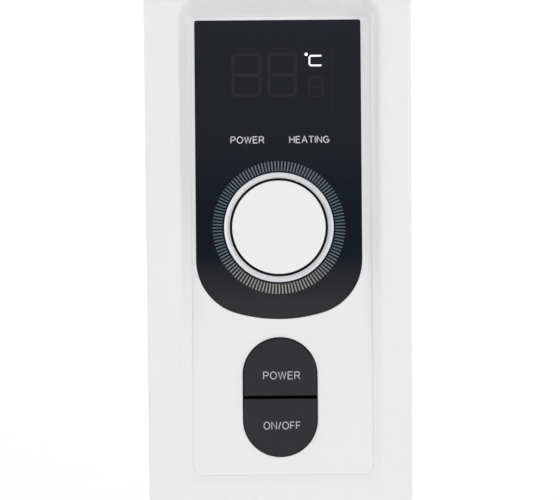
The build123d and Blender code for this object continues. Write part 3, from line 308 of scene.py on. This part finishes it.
PREFIX_MATERIALS = {
    "fin_": fin_white,
    "castor_hood": castor_grey,
    "castor_wheels": wheel_black,
    "castor_axle": axle_steel,
}
for name, node in nodes.items():
    found = [material for prefix, material in PREFIX_MATERIALS.items() if name.startswith(prefix)]
    material = NODE_MATERIALS.get(name) or (found[0] if found else zinc_steel)
    node.data.materials.clear()
    node.data.materials.append(material)


# ---------------------------------------------------------------- printed and lit marks on the panel
def print_material(name, colour, roughness=0.4, metallic=0.0, emission=0.0):
    """Ink or foil: a fine change of tone, and a glow where a lamp is behind it."""
    material, tree, shader, coords = new_material(name)
    tone = noise(tree, coords, 1500.0)
    tree.links.new(ramp(tree, tone, shade(colour, 0.92), shade(colour, 1.06)), shader.inputs["Base Color"])
    shader.inputs["Roughness"].default_value = roughness
    shader.inputs["Metallic"].default_value = metallic
    if emission:
        shader.inputs["Emission Color"].default_value = (1, 1, 1, 1)
        shader.inputs["Emission Strength"].default_value = emission
    return material


tick_silver = print_material("tick_silver", (0.56, 0.55, 0.46), roughness=0.08, metallic=1.0)
label_grey = print_material("label_grey", (0.62, 0.62, 0.64))
key_label = print_material("key_label", (0.60, 0.59, 0.66))
digit_off = print_material("digit_off", (0.0135, 0.0118, 0.011), roughness=0.1)
digit_lit = print_material("digit_lit", (0.9, 0.9, 0.9), emission=0.6)


def surface_height(name):
    """How far a CAD node's outermost point stands out of the panel plane, in millimetres."""
    return max((vertex.co - panel_origin).dot(panel_out) for vertex in nodes[name].data.vertices) / MM


def flat_piece(name, outlines, height, material, body):
    """A thin solid for each outline, a list of (u, v) points, that lies on the panel at that height."""
    mesh = bmesh.new()
    for outline in outlines:
        lower = [mesh.verts.new((u, v, height)) for u, v in outline]
        upper = [mesh.verts.new((u, v, height + PRINT_THICKNESS)) for u, v in outline]
        mesh.faces.new(upper)
        mesh.faces.new(list(reversed(lower)))
        for i in range(len(outline)):
            j = (i + 1) % len(outline)
            mesh.faces.new((lower[i], lower[j], upper[j], upper[i]))
    bmesh.ops.recalc_face_normals(mesh, faces=mesh.faces)
    mesh.transform(panel_matrix)
    data = bpy.data.meshes.new(name)
    mesh.to_mesh(data)
    mesh.free()
    data.materials.append(material)
    piece = bpy.data.objects.new(name, data)
    scene.collection.objects.link(piece)
    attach(piece, body)


def rectangle(u, v, width, height):
    return [
        (u - width / 2, v - height / 2),
        (u + width / 2, v - height / 2),
        (u + width / 2, v + height / 2),
        (u - width / 2, v + height / 2),
    ]


def segment(start, end, stroke, gap=0.18):
    """One bar of a seven-segment digit, with pointed ends."""
    along = (Vector(end) - Vector(start)).normalized()
    across = Vector((-along.y, along.x)) * stroke / 2
    point = along * stroke / 2
    a = Vector(start) + along * gap
    b = Vector(end) - along * gap
    outline = (a, a + point + across, b - point + across, b, b - point - across, a + point - across)
    return [tuple(p) for p in outline]


def digit_eight(u, v, width, height, stroke):
    left, right = u - (width - stroke) / 2, u + (width - stroke) / 2
    bottom, top = v - (height - stroke) / 2, v + (height - stroke) / 2
    corners = [(left, bottom), (right, bottom), (left, v), (right, v), (left, top), (right, top)]
    bars = [(0, 1), (2, 3), (4, 5), (0, 2), (1, 3), (2, 4), (3, 5)]
    return [segment(corners[i], corners[j], stroke) for i, j in bars]


def disc(u, v, radius, count=24):
    return [
        (u + radius * math.cos(2 * math.pi * i / count), v + radius * math.sin(2 * math.pi * i / count))
        for i in range(count)
    ]


def arc(u, v, radius_u, radius_v, start, end, count=10):
    """Points on an ellipse from one angle to another, in degrees."""
    angles = [math.radians(start + (end - start) * i / count) for i in range(count + 1)]
    return [(u + radius_u * math.cos(a), v + radius_v * math.sin(a)) for a in angles]


BOWL = [(0, 1), (0.36, 1)] + arc(0.36, 0.73, 0.25, 0.27, 90, -90)[1:] + [(0, 0.46)]
# Plain sans capitals: the width, then the middle lines of the strokes in a box one unit high.
GLYPHS = {
    "P": (0.61, [[(0, 0), (0, 1)], BOWL]),
    "O": (0.78, [arc(0.39, 0.5, 0.39, 0.5, 0, 360, 28)]),
    "W": (0.96, [[(0, 1), (0.24, 0), (0.48, 1), (0.72, 0), (0.96, 1)]]),
    "E": (0.58, [[(0.56, 1), (0, 1), (0, 0), (0.58, 0)], [(0, 0.53), (0.52, 0.53)]]),
    "R": (0.66, [[(0, 0), (0, 1)], BOWL, [(0.36, 0.46), (0.66, 0)]]),
    "H": (0.66, [[(0, 0), (0, 1)], [(0.66, 0), (0.66, 1)], [(0, 0.53), (0.66, 0.53)]]),
    "A": (0.74, [[(0, 0), (0.37, 1), (0.74, 0)], [(0.13, 0.35), (0.61, 0.35)]]),
    "T": (0.66, [[(0, 1), (0.66, 1)], [(0.33, 1), (0.33, 0)]]),
    "I": (0.0, [[(0, 0), (0, 1)]]),
    "N": (0.64, [[(0, 0), (0, 1), (0.64, 0), (0.64, 1)]]),
    "G": (0.76, [arc(0.39, 0.5, 0.39, 0.5, 42, 318, 22) + [(0.76, 0.16), (0.76, 0.47), (0.42, 0.47)]]),
    "F": (0.52, [[(0.52, 1), (0, 1), (0, 0)], [(0, 0.5), (0.46, 0.5)]]),
    "/": (0.28, [[(0, 0), (0.28, 1)]]),
}


def ribbon(points, stroke):
    """Outlines of the quads that make a line of even width through the points, mitred at its bends."""
    closed = (Vector(points[0]) - Vector(points[-1])).length < 1e-6
    line = [Vector(p) for p in (points[:-1] if closed else points)]
    count = len(line)
    sides = []
    for i, point in enumerate(line):
        before = (point - line[i - 1]).normalized() if closed or i else None
        after = (line[(i + 1) % count] - point).normalized() if closed or i < count - 1 else None
        before, after = before or after, after or before
        across = Vector((-(before + after).y, (before + after).x)).normalized()
        reach = stroke / 2 / max(0.45, across.dot(Vector((-after.y, after.x))))
        sides.append((tuple(point + across * reach), tuple(point - across * reach)))
    pairs = zip(sides, sides[1:] + sides[:1]) if closed else zip(sides, sides[1:])
    return [[b[0], a[0], a[1], b[1]] for a, b in pairs]


def text_piece(name, words, u, v, width, height, stroke, level, material, body):
    """Words in plain capitals of that overall width and height, centred on (u, v)."""
    spacing = 0.27
    total = sum(GLYPHS[letter][0] + spacing for letter in words) - spacing
    scale_u, scale_v = (width - stroke) / total, height - stroke
    pen = 0.0
    outlines = []
    for letter in words:
        glyph_width, lines = GLYPHS[letter]
        for line in lines:
            placed = [
                (u - (width - stroke) / 2 + (pen + x) * scale_u, v + (y - 0.5) * scale_v) for x, y in line
            ]
            outlines += ribbon(placed, stroke)
        pen += glyph_width + spacing
    flat_piece(name, outlines, level, material, body)


window_level = surface_height("display_window")
ticks = []
for i in range(TICK_COUNT):
    angle = 2 * math.pi * i / TICK_COUNT
    along = Vector((math.cos(angle), math.sin(angle)))
    across = Vector((-along.y, along.x)) * TICK_WIDTH / 2
    inner, outer = along * TICK_INNER, along * TICK_OUTER
    corners = (inner - across, outer - across, outer + across, inner + across)
    ticks.append([tuple(corner) for corner in corners])
flat_piece("tick_ring", ticks, window_level, tick_silver, "heater")

# The unlit display, as (u, v, width, height, stroke), with a thin line at its right.
DIGITS = (
    (-15.6, DISPLAY_V, 15.2, 22.0, DIGIT_STROKE),
    (2.3, DISPLAY_V, 15.0, 22.0, DIGIT_STROKE),
    (19.1, 70.2, 7.7, 10.7, 1.0),
)
digits = [bar for digit in DIGITS for bar in digit_eight(*digit)]
digits.append(rectangle(27.3, 73.8, 0.5, 31.5))
flat_piece("display_digits", digits, window_level, digit_off, "heater")

DEGREE_STROKE = 0.8
LETTER_C = [(21.9, 85.75), (16.6, 85.75), (15.9, 85.05), (15.9, 81.6), (16.6, 80.9), (21.9, 80.9)]
degree_c = [disc(14.3, 86.5, DEGREE_STROKE)] + ribbon(LETTER_C, DEGREE_STROKE)
flat_piece("display_degree_c", degree_c, window_level, digit_lit, "heater")

LABEL_HEIGHT, LABEL_STROKE = 3.6, 0.5
LAMP_LABELS = (("label_power", "POWER", -15.4, 17.0), ("label_heating", "HEATING", 15.5, 20.0))
for name, words, u, width in LAMP_LABELS:
    text_piece(
        name, words, u, LABEL_V, width, LABEL_HEIGHT, LABEL_STROKE,
        window_level, label_grey, "heater",
    )
KEY_LABEL_U, KEY_LABEL_WIDTH, KEY_LABEL_HEIGHT, KEY_LABEL_STROKE = 0.8, 18.5, 3.9, 0.4
KEY_LABELS = (("power", "POWER", -73.9, "power_key"), ("on_off", "ON/OFF", -98.9, "on_off_key"))
key_level = surface_height("button_power")
for name, words, v, body in KEY_LABELS:
    text_piece(
        f"key_label_{name}", words, KEY_LABEL_U, v, KEY_LABEL_WIDTH, KEY_LABEL_HEIGHT, KEY_LABEL_STROKE,
        key_level, key_label, body,
    )


# ---------------------------------------------------------------- camera
CAMERA_DISTANCE = 700.0
FRAME_WIDTH = 280.0
FRAME_U, FRAME_V = 0.45, -11.25
CAMERA_ROLL = math.radians(0.46)
SENSOR = 36.0

camera = bpy.data.objects.new("camera", bpy.data.cameras.new("camera"))
scene.collection.objects.link(camera)
camera.data.sensor_width = SENSOR
camera.data.lens = SENSOR * CAMERA_DISTANCE / FRAME_WIDTH
camera.data.clip_start = 0.01
camera.data.clip_end = 60
camera_up = panel_up * math.cos(CAMERA_ROLL) + panel_right * math.sin(CAMERA_ROLL)
camera_right = camera_up.cross(panel_out)
camera_spot = panel_matrix @ Vector((FRAME_U, FRAME_V, CAMERA_DISTANCE))
camera.matrix_world = Matrix.Translation(camera_spot) @ Matrix(
    (camera_right, camera_up, panel_out)
).transposed().to_4x4()
scene.camera = camera


# ---------------------------------------------------------------- studio
def area_light(name, spot, target, size, power):
    light = bpy.data.lights.new(name, "AREA")
    light.shape = "RECTANGLE"
    light.size, light.size_y = size
    light.energy = power
    lamp = bpy.data.objects.new(name, light)
    scene.collection.objects.link(lamp)
    lamp.location = spot
    lamp.rotation_euler = (Vector(target) - Vector(spot)).to_track_quat("-Z", "Y").to_euler()


centre = (cad_low + cad_high) / 2
area_light("key_light", (-2.3, -1.4, 1.3), panel_origin, (1.2, 1.2), 17)
area_light("fill_light", (2.0, -1.6, 0.85), panel_origin, (1.0, 1.0), 14.5)
area_light("rim_light", (1.6, 1.8, 1.6), centre, (1.2, 1.2), 5)
area_light("floor_light", (0.0, 7.0, 4.5), (0.0, 7.0, 0.0), (10.0, 10.0), 230)

# The room is brightest behind the heater and overhead.
BACK_START, BACK_FULL = 0.2, 0.9
ROOM_GLOW, BACK_GLOW, TOP_GLOW = 0.44, 1.02, 0.25
world = bpy.data.worlds.new("studio")
world.use_nodes = True
world_tree = world.node_tree
world_coords = world_tree.nodes.new("ShaderNodeTexCoord")
world_split = world_tree.nodes.new("ShaderNodeSeparateXYZ")
world_tree.links.new(world_coords.outputs["Generated"], world_split.inputs["Vector"])
back_glow = world_tree.nodes.new("ShaderNodeMapRange")
back_glow.inputs["From Min"].default_value = BACK_START
back_glow.inputs["From Max"].default_value = BACK_FULL
back_glow.inputs["To Min"].default_value = ROOM_GLOW
back_glow.inputs["To Max"].default_value = BACK_GLOW
world_tree.links.new(world_split.outputs["Y"], back_glow.inputs["Value"])
top_glow = math_node(world_tree, "MULTIPLY", world_split.outputs["Z"], TOP_GLOW)
brightness = math_node(world_tree, "ADD", back_glow.outputs["Result"], top_glow)
backdrop = world_tree.nodes["Background"]
backdrop.inputs["Color"].default_value = (1, 1, 1, 1)
world_tree.links.new(brightness, backdrop.inputs["Strength"])
scene.world = world


def stage_plane(name, size, material):
    """A flat sheet of the studio round its own centre, which isn't part of the heater."""
    half_x, half_y = size[0] / 2, size[1] / 2
    data = bpy.data.meshes.new(name)
    corners = [(-half_x, -half_y, 0), (half_x, -half_y, 0), (half_x, half_y, 0), (-half_x, half_y, 0)]
    data.from_pydata(corners, [], [(0, 1, 2, 3)])
    data.materials.append(material)
    piece = bpy.data.objects.new(name, data)
    scene.collection.objects.link(piece)
    return piece


floor_pale = moulded("floor_pale", (0.93, 0.93, 0.93), 0.6, grain=40.0, depth=0.00002, mottle=0.004)
# It ends where the floor light does, so that it fades into the bright backdrop without a horizon.
FLOOR_WIDTH, FLOOR_FRONT, FLOOR_BACK = 40.0, -20.0, 9.0
floor = stage_plane("floor", (FLOOR_WIDTH, FLOOR_BACK - FLOOR_FRONT), floor_pale)
floor.location = (0, (FLOOR_FRONT + FLOOR_BACK) / 2, cad_low.z)

# What the gloss black window mirrors: a pale room above, a darker cool band, and a pale table.
CARD_AWAY, CARD_WIDTH = 2.0, 3.2
CARD_TOP, CARD_BOTTOM = 1.9, -0.1
CARD_BANDS = (
    (0.40, (0.85, 0.86, 0.88)),
    (0.452, (0.80, 0.82, 0.85)),
    (0.520, (0.44, 0.45, 0.54)),
    (0.536, (0.43, 0.44, 0.53)),
    (0.547, (0.15, 0.22, 0.33)),
    (0.66, (0.16, 0.24, 0.36)),
    (0.76, (0.34, 0.36, 0.44)),
    (1.00, (0.43, 0.45, 0.55)),
)


def card_material():
    """Glows in the bands of CARD_BANDS, each a height in metres and its colour."""
    material = bpy.data.materials.new("mirrored_room")
    material.use_nodes = True
    tree = material.node_tree
    tree.nodes.remove(tree.nodes["Principled BSDF"])
    coords = tree.nodes.new("ShaderNodeTexCoord")
    split = tree.nodes.new("ShaderNodeSeparateXYZ")
    height = tree.nodes.new("ShaderNodeMapRange")
    height.inputs["From Min"].default_value = -(CARD_TOP - CARD_BOTTOM) / 2
    height.inputs["From Max"].default_value = (CARD_TOP - CARD_BOTTOM) / 2
    bands = tree.nodes.new("ShaderNodeValToRGB")
    elements = bands.color_ramp.elements
    while len(elements) < len(CARD_BANDS):
        elements.new(0.5)
    for element, (z, colour) in zip(elements, CARD_BANDS):
        element.position = (z - CARD_BOTTOM) / (CARD_TOP - CARD_BOTTOM)
        element.color = (*colour, 1)
    glow = tree.nodes.new("ShaderNodeEmission")
    tree.links.new(coords.outputs["Object"], split.inputs["Vector"])
    tree.links.new(split.outputs["Y"], height.inputs["Value"])
    tree.links.new(height.outputs["Result"], bands.inputs["Fac"])
    tree.links.new(bands.outputs["Color"], glow.inputs["Color"])
    tree.links.new(glow.outputs["Emission"], tree.nodes["Material Output"].inputs["Surface"])
    return material


card = stage_plane("mirrored_room", (CARD_WIDTH, CARD_TOP - CARD_BOTTOM), card_material())
card.location = (0, panel_origin.y - CARD_AWAY, (CARD_TOP + CARD_BOTTOM) / 2)
card.rotation_euler = (math.radians(90), 0, 0)
card.visible_camera = False
card.visible_diffuse = False
card.visible_shadow = False
card.visible_transmission = False
